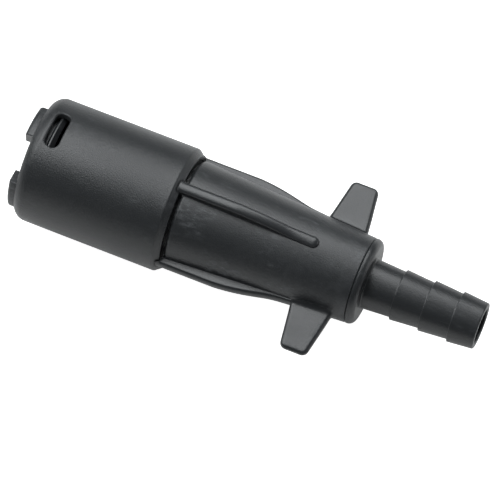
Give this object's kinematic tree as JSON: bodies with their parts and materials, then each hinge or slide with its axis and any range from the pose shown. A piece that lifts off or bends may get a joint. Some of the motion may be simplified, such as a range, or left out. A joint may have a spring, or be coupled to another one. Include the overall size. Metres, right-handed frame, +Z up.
{
  "type": "drip emitter",
  "caption": "Adjustable drip emitter: turning sleeve and lugged outlet crown on a ribbed, winged, tapered body with a hose barb inlet.",
  "frame": {"origin": "centre of the footprint, at the height of the sleeve's lowest line, with the emitter lying on its side", "axes": "+X along the axis from the outlet crown to the hose barb, +Y along one wing, +Z up"},
  "size_m": [0.1316, 0.0524, 0.035],
  "materials": {
    "black_satin": "satin, fine spark-eroded grain",
    "white_acetal": "natural, smooth",
    "rubber": "matte",
    "silicone": "soft matte",
    "steel": "bright"
  },
  "bodies": {
    "housing": {"winged_body": "black_satin", "barbed_inlet": "black_satin", "inlet_o_ring": "rubber", "front_o_ring": "rubber", "rear_o_ring": "rubber", "snap_ring": "steel", "thrust_washer": "white_acetal", "flow_seat": "white_acetal", "diaphragm": "silicone", "diaphragm_ring": "white_acetal", "labyrinth_core": "white_acetal", "core_o_ring": "rubber", "ball_cage": "white_acetal", "ball_seat": "silicone", "strainer_basket": "white_acetal", "strainer_gauze": "steel"},
    "dial": {"outer_sleeve": "black_satin", "outlet_crown": "black_satin", "drip_outlet": "black_satin"},
    "plug": {"flow_plug": "white_acetal", "plug_o_ring": "rubber"},
    "ball": {"check_ball": "steel"}
  },
  "joints": [
    {"name": "sleeve_turn", "type": "hinge", "parent": "housing", "child": "dial", "pos_m": [-0.0421, 0, 0.0175], "axis": [1, 0, 0], "range_deg": [0, 270]},
    {"name": "plug_travel", "type": "slide", "parent": "housing", "child": "plug", "axis": [-1, 0, 0], "range_m": [0, 0.003]},
    {"name": "ball_lift", "type": "slide", "parent": "housing", "child": "ball", "axis": [-1, 0, 0], "range_m": [0, 0.0025]}
  ],
  "couplings": [
    {"joint": "plug_travel", "follows": "sleeve_turn", "m_per_rad": 0.000636}
  ]
}
